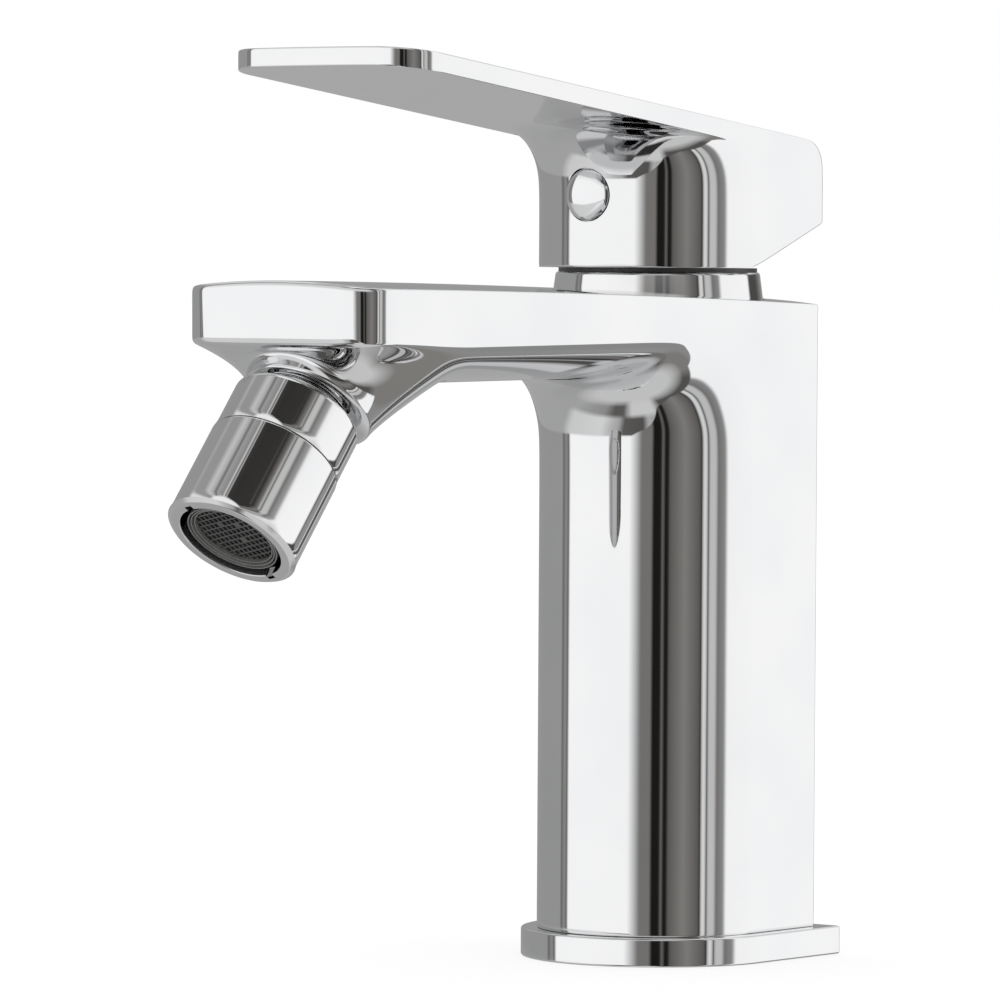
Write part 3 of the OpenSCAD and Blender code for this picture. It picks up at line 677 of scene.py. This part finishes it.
def handle_point(column, row, station):
    flat = flat_x(column, HANDLE_COLUMNS, LEVER_CORNER_R)
    over = handle_over(flat, station)
    under = handle_under(mix(round_x(column, HANDLE_COLUMNS), flat, plate_share(station)), station)
    if station == 0 and row in (1, 2, 3):
        kink = Vector((under.x, RELIEF_Y, HUB_Z))
        share = (HUB_EDGE / (over - kink).length, 0.5, 1.0)[row - 1]
        return over.lerp(kink, share)
    length = (over - under).length
    kind = HANDLE_STATIONS[station][0]
    low_edge = HUB_EDGE if kind == "foot" else HANDLE_EDGE
    point = over.lerp(under, row_share(row, HANDLE_TOP_EDGE / length, low_edge / length))
    if kind == "tip":
        point.y = lever_tip(point.x)
    return point


def make_handle():
    obj = extruded_section("handle_chrome", HANDLE_COLUMNS, HANDLE_ROWS, len(HANDLE_STATIONS), handle_point)
    close_up(obj)
    round_over(obj)
    hollow_top, front = HUB_Z + HUB_HOLLOW_H, HUB_FRONT + OVERSHOOT
    combine(obj, plug("hub_hollow", HUB_HOLLOW_R, HUB_Z - OVERSHOOT, hollow_top), "DIFFERENCE")
    clearance = Vector((BUSH_GAP, BUSH_GAP, BUSH_GAP))
    low = bush_low - clearance
    low.z = hollow_top - SMALL_OVERSHOOT
    combine(obj, block("bush_socket", low, bush_high + clearance), "DIFFERENCE")
    screw_hole = plug("screw_hole", SCREW_HOLE_R, SCREW_HOLE_END, front, cap_place, SMALL_STEPS)
    combine(obj, screw_hole, "DIFFERENCE")
    cap_seat = plug("cap_seat", CAP_R + CAP_GAP, HUB_FRONT - CAP_SEAT, front, cap_place)
    combine(obj, cap_seat, "DIFFERENCE")
    return obj


# Turned and small pieces

def make_flange():
    """D-shaped plate: a block whose two front uprights are rounded over by half its width."""
    obj = block("flange_chrome", flange_low, flange_high)
    edit(obj)
    bpy.ops.mesh.select_mode(type="EDGE")
    bpy.ops.mesh.select_all(action="DESELECT")
    mesh = bmesh.from_edit_mesh(obj.data)
    for edge in mesh.edges:
        ends = [v.co for v in edge.verts]
        upright = abs(ends[0].z - ends[1].z) > MM
        edge.select = upright and max(end.y for end in ends) < 0
    bmesh.update_edit_mesh(obj.data)
    bpy.ops.mesh.bevel(offset=flange_high.x * MM, segments=48, affect="EDGES", clamp_overlap=False)
    leave_edit()
    close_up(obj)
    modifier = obj.modifiers.new("edges", "BEVEL")
    modifier.width = FLANGE_EDGE * MM
    modifier.segments = 3
    modifier.limit_method = "ANGLE"
    modifier.angle_limit = radians(50)
    apply_modifier(obj, modifier)
    spigot_hole = plug("spigot_hole", SPIGOT_R + SPIGOT_GAP, -OVERSHOOT, FOOT_Z + OVERSHOOT)
    combine(obj, spigot_hole, "DIFFERENCE")
    return obj


def make_collar():
    low, top = collar_low.z, collar_high.z
    lip = top - COLLAR_LIP
    return turned("collar_chrome", eased([
        (COLLAR_R, low, 0.2), (COLLAR_TOP_R, top, 0.7), (COLLAR_EYE_R, top, 0.4), (COLLAR_EYE_R, lip, 0.2),
        (COLLAR_BORE_R, lip, 0.2), (COLLAR_BORE_R, low, 0.2)]), steps=FINE_STEPS)


def make_cap():
    low = HUB_FRONT - CAP_SEAT + CAP_LIFT
    profile = eased([(0.0, low, 0), (CAP_R, low, 0.2), (CAP_R, CAP_RIM + CAP_RIM_EDGE, 0.35)])[:-1]
    profile += [Vector((CAP_R * r, CAP_RIM + CAP_DOME * h)) for r, h in CAP_CURVE]
    return turned("cap_chrome", profile, cap_place, steps=96)


# Lower end of a sleeve that opens slightly: distance outwards and height over its edge
FLARE = ((0.17, 0.0), (0.07, 0.45), (0.02, 1.0), (0.0, 1.7))


def flare(radius, low):
    return [(radius + out, low + up, 0) for out, up in FLARE]


def sphere_arc(radius, start, end, steps):
    """Profile points on a sphere between two heights."""
    heights = [mix(start, end, k / steps) for k in range(steps + 1)]
    return [(sqrt(radius ** 2 - h ** 2), h, 0) for h in heights]


def make_nut():
    """Upper half of the swivel, with the ball's socket inside."""
    bore_r = THREAD_R + THREAD_GAP
    socket = sphere_arc(SOCKET_R, SOCKET_TOP, THREAD_TOP, steps=6)
    return turned("socket_nut_chrome", eased([
        *flare(NUT_R, JOINT_H), (NUT_R, NUT_TOP, NUT_SHOULDER_R), (NUT_MOUTH_R, NUT_TOP, 0.25), *socket,
        (bore_r, THREAD_TOP, 0), (bore_r, JOINT_H, 0)], steps=6), outlet_place, FINE_STEPS)


def put_in_outlet(obj, turn):
    place = outlet_place @ Matrix.Rotation(turn, 4, "Z")
    place.translation *= MM
    obj.data.transform(place)


def make_shell():
    """Lower sleeve of the swivel with the bevelled rim and two key notches."""
    joint, thread_top, thread_r = JOINT_H - JOINT_GAP, THREAD_TOP - JOINT_GAP, THREAD_R - JOINT_GAP
    obj = turned("aerator_shell_chrome", eased([
        (NUT_R, joint, 0.05), (SHELL_R, JOINT_H - JOINT_STEP, 0.12),
        *reversed(flare(SHELL_R, RIM_H + RIM_BEVEL)), (SHELL_R - RIM_BEVEL, RIM_H, 0.3),
        (OUTLET_R, RIM_H, 0.25), (OUTLET_R, CHAMBER_TOP, 0), (THROAT_R, CHAMBER_TOP, 0),
        (THROAT_R, thread_top, 0), (thread_r, thread_top, 0.2), (thread_r, joint, 0)]),
        outlet_place, FINE_STEPS)
    for side in (-1, 1):
        notch = block("notch", (-NOTCH_W / 2, side * OUTLET_R - NOTCH_T, RIM_H - SMALL_OVERSHOOT),
                      (NOTCH_W / 2, side * OUTLET_R + NOTCH_T, RIM_H + NOTCH_H))
        put_in_outlet(notch, INSERT_TURN)
        combine(obj, notch, "DIFFERENCE")
    return obj


def make_insert():
    """Stepped plastic ring that holds the grille."""
    inner, groove = GRILLE_R + GRILLE_GAP, INSERT_LOW + GROOVE_H
    ridges = []
    for k, height in enumerate(RIDGE_CRESTS):
        at, crest = inner + k * RIDGE_PITCH, INSERT_LOW + height
        ridges += [
            (at, crest, RIDGE_EDGE), (at + RIDGE_W, crest, RIDGE_EDGE),
            (at + RIDGE_W + RIDGE_SLANT, groove, 0), (at + RIDGE_PITCH - RIDGE_SLANT, groove, 0)]
    return turned("aerator_insert_ring", eased([
        (INSERT_R, INSERT_LOW, 0.08), (INSERT_R, INSERT_TOP, 0.2), (inner, INSERT_TOP, 0), *ridges,
        (inner + len(RIDGE_CRESTS) * RIDGE_PITCH, INSERT_LOW, RIDGE_EDGE)], steps=3), outlet_place)


def make_nipple():
    """Ball with its neck, the guide ring that shows above the nut, and the threaded end in the boss."""
    ball_r, neck_r, ring_r, thread_r, bore_r = 8.0, 4.8, 8.2, 8.0, 3.0
    ball_low, ring_low, ring_side, ring_top, ring_bevel = -6.8, 6.6, 7.2, 7.9, 0.9
    thread_low, thread_top = 8.4, 13.0
    ball = sphere_arc(ball_r, ball_low, sqrt(ball_r ** 2 - neck_r ** 2), steps=13)
    return turned("ball_nipple_chrome", eased([
        (bore_r, ball_low, 0), *ball, (neck_r, ring_low, 0.1), (ring_r - ring_bevel, ring_low, 0.2),
        (ring_r, ring_side, 0.2), (ring_r, ring_top, 0.1), (thread_r, thread_low, 0.1),
        (thread_r, thread_top, 0.2), (bore_r, thread_top, 0.2)]), outlet_place)


def make_grille():
    """Square-celled grid trimmed to a disc, with a few cells closed."""
    size = 2 * GRILLE_R
    bpy.ops.object.select_all(action="DESELECT")
    bpy.ops.mesh.primitive_grid_add(x_subdivisions=GRILLE_CELLS, y_subdivisions=GRILLE_CELLS, size=size * MM)
    obj = bpy.context.object
    obj.name = "aerator_grid"
    edit(obj)
    bpy.ops.mesh.select_mode(type="FACE")
    bpy.ops.mesh.inset(thickness=GRILLE_BAR / 2 * MM, use_individual=True, use_boundary=True)
    mesh = bmesh.from_edit_mesh(obj.data)
    closed = [(-2, 1), (1, 2), (0, -2), (3, -1)]
    pitch = size / GRILLE_CELLS * MM
    for face in mesh.faces:
        if face.select:
            middle = face.calc_center_median()
            cell = (round(middle.x / pitch), round(middle.y / pitch))
            face.select = cell not in closed
    bmesh.update_edit_mesh(obj.data)
    bpy.ops.mesh.delete(type="ONLY_FACE")
    bpy.ops.mesh.select_all(action="SELECT")
    bpy.ops.mesh.extrude_region_move(TRANSFORM_OT_translate={"value": (0, 0, GRILLE_T * MM)})
    bpy.ops.mesh.select_mode(type="VERT")
    leave_edit()
    close_up(obj)
    combine(obj, plug("disc", GRILLE_R, -SMALL_OVERSHOOT, GRILLE_T + SMALL_OVERSHOOT), "INTERSECT")
    obj.data.transform(Matrix.Translation((0, 0, GRILLE_LOW * MM)))
    put_in_outlet(obj, INSERT_TURN)
    return obj


# Finishes

def finish(name):
    """A fresh node material and its shader."""
    material = bpy.data.materials.new(name)
    material.use_nodes = True
    return material, material.node_tree, material.node_tree.nodes["Principled BSDF"]


def node(tree, kind, **settings):
    made = tree.nodes.new(kind)
    for key, value in settings.items():
        if key.startswith("in_"):
            made.inputs[key[3:].replace("_", " ")].default_value = value
        else:
            setattr(made, key, value)
    return made


def rescale(tree, value, low, high, to_low=0.0, to_high=1.0):
    """Bring a value from low..high to another range."""
    spread = node(tree, "ShaderNodeMapRange", in_From_Min=low, in_From_Max=high,
                  in_To_Min=to_low, in_To_Max=to_high)
    tree.links.new(value, spread.inputs["Value"])
    return spread.outputs["Result"]


# Range in which most of a noise texture's values lie
NOISE_RANGE = (0.3, 0.7)


def grain(tree, scale, low, high, detail=3.0):
    """Noise on the piece's own coordinates, spread between two values."""
    place = node(tree, "ShaderNodeTexCoord")
    noise = node(tree, "ShaderNodeTexNoise", in_Scale=scale, in_Detail=detail)
    tree.links.new(place.outputs["Object"], noise.inputs["Vector"])
    return rescale(tree, noise.outputs["Fac"], *NOISE_RANGE, low, high)


def relief(tree, shader, scale, strength, distance):
    """Fine bump of the surface."""
    bump = node(tree, "ShaderNodeBump", in_Strength=strength, in_Distance=distance)
    tree.links.new(grain(tree, scale, 0.0, 1.0), bump.inputs["Height"])
    tree.links.new(bump.outputs["Normal"], shader.inputs["Normal"])


def tint(tree, shader, scale, dark, light):
    """Slight drift of the colour over the surface."""
    ramp = node(tree, "ShaderNodeMix", data_type="RGBA")
    ramp.inputs["A"].default_value = (*dark, 1.0)
    ramp.inputs["B"].default_value = (*light, 1.0)
    tree.links.new(grain(tree, scale, 0.0, 1.0), ramp.inputs["Factor"])
    tree.links.new(ramp.outputs["Result"], shader.inputs["Base Color"])


def metal(name, dark, light, rough_low, rough_high, wave=0.0):
    material, tree, shader = finish(name)
    shader.inputs["Metallic"].default_value = 1.0
    tint(tree, shader, scale=40.0, dark=dark, light=light)
    rough = grain(tree, scale=160.0, low=rough_low, high=rough_high)
    tree.links.new(rough, shader.inputs["Roughness"])
    if wave:
        relief(tree, shader, scale=60.0, strength=wave, distance=0.0002)
    return material


def plastic(name, dark, light, rough_low, rough_high, bump=0.1):
    material, tree, shader = finish(name)
    tint(tree, shader, scale=300.0, dark=dark, light=light)
    rough = grain(tree, scale=900.0, low=rough_low, high=rough_high)
    tree.links.new(rough, shader.inputs["Roughness"])
    relief(tree, shader, scale=2500.0, strength=bump, distance=0.00005)
    return material


finishes = {
    "chrome": metal("polished_chrome", (0.76, 0.765, 0.775), (0.8, 0.8, 0.805), 0.025, 0.045, 0.01),
    "brass": metal("turned_brass", (0.62, 0.42, 0.16), (0.72, 0.51, 0.22), 0.2, 0.32),
    "steel": metal("bright_steel", (0.5, 0.5, 0.51), (0.58, 0.58, 0.59), 0.22, 0.34),
    "rubber": plastic("black_rubber", (0.012, 0.012, 0.013), (0.022, 0.022, 0.023), 0.6, 0.8),
    "acetal": plastic("white_acetal", (0.72, 0.72, 0.7), (0.8, 0.8, 0.78), 0.35, 0.48),
    "ceramic": plastic("ground_ceramic", (0.72, 0.7, 0.66), (0.82, 0.8, 0.76), 0.2, 0.3),
    "aerator_grey": plastic("grey_moulding", (0.12, 0.12, 0.117), (0.16, 0.16, 0.156), 0.3, 0.42),
    "aerator_dark": plastic("dark_moulding", (0.035, 0.035, 0.034), (0.055, 0.055, 0.054), 0.32, 0.45),
}

for subpart in frame["record"]["subparts"]:
    inner = frame["nodes"][subpart["node"]]
    inner.data.materials.clear()
    inner.data.materials.append(finishes[subpart["material_slot"]])


def dress(obj, body, slot, *nodes):
    """Give a finished piece its surface, its body and the CAD nodes that it stands for."""
    obj.data.materials.clear()
    obj.data.materials.append(finishes[slot])
    shade(obj)
    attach(obj, body)
    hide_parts(*nodes)


dress(make_body(), "mixer_body", "chrome", "body_casting")
dress(make_flange(), "mixer_body", "chrome", "base_flange")
dress(make_collar(), "mixer_body", "chrome", "collar")
dress(make_nipple(), "mixer_body", "chrome", "ball_nipple")
dress(make_handle(), "lever", "chrome", "handle")
dress(make_cap(), "lever", "chrome", "screw_cap")
dress(make_nut(), "aerator", "chrome", "socket_nut")
dress(make_shell(), "aerator", "chrome", "aerator_shell")
dress(make_insert(), "aerator", "aerator_grey", "aerator_insert")
dress(make_grille(), "aerator", "aerator_dark", "aerator_grille")


# Studio

CAMERA_AT = Vector((828.08, -1101.45, 133.07)) * MM
CAMERA_HEADING = radians(38.18)
CAMERA_DIP = radians(1.91)
CAMERA_ROLL = radians(0.33)
LENS = 259.2
SENSOR = 36.0
CLIP = (0.05, 50.0)

# Staged floor, in metres
STAGE_SIZE = 30.0
STAGE_Z = -0.00005
STAGE_GREY = (0.3, 0.3, 0.3, 1.0)
STAGE_GLOW = 0.74
WHITE = (1.0, 1.0, 1.0, 1.0)

camera_right = Vector((cos(CAMERA_HEADING), sin(CAMERA_HEADING), 0.0))
level_ahead = Vector((-sin(CAMERA_HEADING), cos(CAMERA_HEADING), 0.0))


def make_camera():
    data = bpy.data.cameras.new("studio_camera")
    data.lens = LENS
    data.sensor_width = SENSOR
    data.clip_start, data.clip_end = CLIP
    camera = bpy.data.objects.new("studio_camera", data)
    bpy.context.scene.collection.objects.link(camera)
    ahead = level_ahead * cos(CAMERA_DIP) - Vector((0, 0, sin(CAMERA_DIP)))
    up = camera_right.cross(ahead)
    axis_x = camera_right * cos(CAMERA_ROLL) + up * sin(CAMERA_ROLL)
    axis_y = up * cos(CAMERA_ROLL) - camera_right * sin(CAMERA_ROLL)
    turn = Matrix((axis_x, axis_y, -ahead)).transposed().to_4x4()
    camera.matrix_world = Matrix.Translation(CAMERA_AT) @ turn
    bpy.context.scene.camera = camera


def make_floor():
    bpy.ops.object.select_all(action="DESELECT")
    bpy.ops.mesh.primitive_plane_add(size=STAGE_SIZE, location=(0, 0, STAGE_Z))
    floor = bpy.context.object
    floor.name = "studio_floor"
    material, tree, shader = finish("pale_floor")
    shader.inputs["Base Color"].default_value = STAGE_GREY
    shader.inputs["Roughness"].default_value = 1.0
    shader.inputs["Specular IOR Level"].default_value = 0.0
    shader.inputs["Emission Color"].default_value = WHITE
    shader.inputs["Emission Strength"].default_value = STAGE_GLOW
    floor.data.materials.append(material)
    floor.visible_glossy = False


# Brightness of the studio by bearing from the camera's side, in degrees to the right
WALLS = [
    (-180, 0.33), (-107, 0.36), (-105, 0.15), (-100.5, 0.32), (-97, 0.15), (-94.5, 1.14), (-27, 1.12),
    (-18, 0.42), (-15, 0.2), (-5, 0.2), (-3.5, 0.012), (4, 0.012), (6, 0.17), (8, 0.012), (11, 0.012), (13, 0.12),
    (28, 0.24), (43, 0.12), (45.5, 0.02), (47, 0.8), (50, 0.8), (52, 0.1), (54, 0.62), (60, 0.62),
    (63, 0.2), (71, 0.3), (75, 1.1), (119, 1.15), (123, 0.08), (140, 0.08), (165, 0.33),
]
CEILING = [
    (-180, 0.9), (-135, 0.85), (-122, 0.36), (-106, 0.36), (-94, 0.65), (-82, 0.5), (-73, 0.18), (-66, 0.4),
    (-45, 0.3), (-38, 0.7), (-33, 0.1), (-28, 0.5), (-24, 0.045), (-5, 0.035), (40, 0.04), (50, 0.25),
    (55, 0.1), (62, 0.5), (70, 0.35), (80, 1.0), (180, 0.9),
]
FLOOR = [
    (-180, 0.42), (-106, 0.44), (-96, 0.72), (-58, 0.8), (-47, 0.55), (-40, 0.45), (-34, 0.12), (-14, 0.1),
    (-8, 0.5), (15, 0.3), (30, 0.1), (62, 0.08), (70, 0.4), (76, 0.1), (84, 0.3), (120, 0.3),
    (165, 0.42),
]
# Brightness of the ground under the object
SHEET = [
    (-180, 0.5), (-162, 0.4), (-100, 0.45), (-75, 0.36), (-60, 0.32), (-48, 0.12), (-36, 0.12), (-26, 0.7),
    (0, 0.7), (10, 0.1), (74, 0.1), (88, 0.24), (150, 0.24), (180, 0.5),
]
# Share of the soft light high on the walls, by bearing
SOFTBOX = [
    (-180, 1.0), (-168, 1.0), (-158, 0.0), (-105, 0.0), (-85, 1.0), (20, 1.0), (38, 0.0), (64, 0.0),
    (84, 0.8), (100, 1.0), (180, 1.0),
]
# Sine of the angle at which the floor begins, by bearing
FLOOR_LINE = [
    (-180, -0.1), (-60, -0.13), (-25, -0.16), (-12, -0.3), (5, -0.7), (30, -0.78), (60, -0.72), (90, -0.7),
    (105, -0.45), (120, -0.2), (135, -0.1), (180, -0.1),
]
# Sines between which the walls give way to the ceiling and the ceiling to its lamp
CEILING_LINE = (0.57, 0.65)
LAMP_LINE = (0.93, 0.96)
# Sines over which the soft light on the walls comes in and goes out again
SOFTBOX_LOW = (0.22, 0.42)
SOFTBOX_HIGH = (0.76, 0.7)
SOFT_WHITE = (0.78, 0.78, 0.78, 1.0)
# Sines between which the ground gives way to the floor, and its even middle to the ground
SHEET_LINE = (-0.66, -0.58)
NADIR_LINE = (-0.92, -0.8)
NADIR = (0.66, 0.66, 0.66, 1.0)
# Softness of the border between floor and walls
FLOOR_BLEND = 0.006
# Greys up to this level are warmed by these factors
WARM_BELOW = 0.28
WARM = (1.04, 1.0, 0.95)


def studio_grey(level):
    """A neutral grey, or a slightly warm one in the dark parts of the room."""
    if level > WARM_BELOW:
        return (level, level, level, 1.0)
    return (*(factor * level for factor in WARM), 1.0)


def fill_ramp(ramp, stops):
    """Set a colour ramp's stops to grey levels."""
    while len(ramp.elements) > 1:
        ramp.elements.remove(ramp.elements[-1])
    ramp.elements[0].position = stops[0][0]
    ramp.elements[0].color = studio_grey(stops[0][1])
    for position, level in stops[1:]:
        ramp.elements.new(position).color = studio_grey(level)


def bearing_ramp(tree, bearing, stops):
    """Grey levels of the studio at bearings in degrees."""
    ramp = node(tree, "ShaderNodeValToRGB")
    fill_ramp(ramp.color_ramp, [((angle + 180) / 360, level) for angle, level in stops])
    tree.links.new(bearing, ramp.inputs["Fac"])
    return ramp.outputs["Color"]


def blend_light(tree, share, first, second):
    blend = node(tree, "ShaderNodeMix", data_type="RGBA")
    tree.links.new(share, blend.inputs["Factor"])
    for socket, light in (("A", first), ("B", second)):
        if isinstance(light, tuple):
            blend.inputs[socket].default_value = light
        else:
            tree.links.new(light, blend.inputs[socket])
    return blend.outputs["Result"]


def make_world():
    """Walls, ceiling and floor painted by bearing, and an even white for the camera and the soft light."""
    world = bpy.data.worlds.new("studio")
    bpy.context.scene.world = world
    world.use_nodes = True
    tree = world.node_tree
    place = node(tree, "ShaderNodeTexCoord")
    sides = []
    for axis in (camera_right, -level_ahead):
        dot = node(tree, "ShaderNodeVectorMath", operation="DOT_PRODUCT")
        dot.inputs[1].default_value = axis
        tree.links.new(place.outputs["Generated"], dot.inputs[0])
        sides.append(dot.outputs["Value"])
    turn = node(tree, "ShaderNodeMath", operation="ARCTAN2")
    tree.links.new(sides[0], turn.inputs[0])
    tree.links.new(sides[1], turn.inputs[1])
    bearing = rescale(tree, turn.outputs["Value"], -pi, pi)
    split = node(tree, "ShaderNodeSeparateXYZ")
    tree.links.new(place.outputs["Generated"], split.inputs["Vector"])
    height = split.outputs["Z"]
    floor_line = bearing_ramp(tree, bearing, [(angle, (sine + 1) / 2) for angle, sine in FLOOR_LINE])
    over_floor = node(tree, "ShaderNodeMath", operation="SUBTRACT")
    tree.links.new(rescale(tree, height, -1.0, 1.0), over_floor.inputs[0])
    tree.links.new(floor_line, over_floor.inputs[1])
    studio = blend_light(tree, rescale(tree, height, *CEILING_LINE), bearing_ramp(tree, bearing, WALLS),
                         bearing_ramp(tree, bearing, CEILING))
    studio = blend_light(tree, rescale(tree, height, *LAMP_LINE), studio, WHITE)
    glow = bearing_ramp(tree, bearing, SOFTBOX)
    for line in (SOFTBOX_LOW, SOFTBOX_HIGH):
        fade = node(tree, "ShaderNodeMath", operation="MULTIPLY")
        tree.links.new(glow, fade.inputs[0])
        tree.links.new(rescale(tree, height, *line), fade.inputs[1])
        glow = fade.outputs["Value"]
    studio = blend_light(tree, glow, studio, SOFT_WHITE)
    ground = blend_light(tree, rescale(tree, height, *SHEET_LINE), bearing_ramp(tree, bearing, SHEET),
                         bearing_ramp(tree, bearing, FLOOR))
    ground = blend_light(tree, rescale(tree, height, *NADIR_LINE), NADIR, ground)
    above = rescale(tree, over_floor.outputs["Value"], -FLOOR_BLEND, FLOOR_BLEND)
    studio = blend_light(tree, above, ground, studio)
    rays = node(tree, "ShaderNodeLightPath")
    light = blend_light(tree, rays.outputs["Is Glossy Ray"], WHITE, studio)
    tree.links.new(light, tree.nodes["Background"].inputs["Color"])


make_camera()
make_floor()
make_world()
bpy.context.scene.view_settings.view_transform = "Standard"
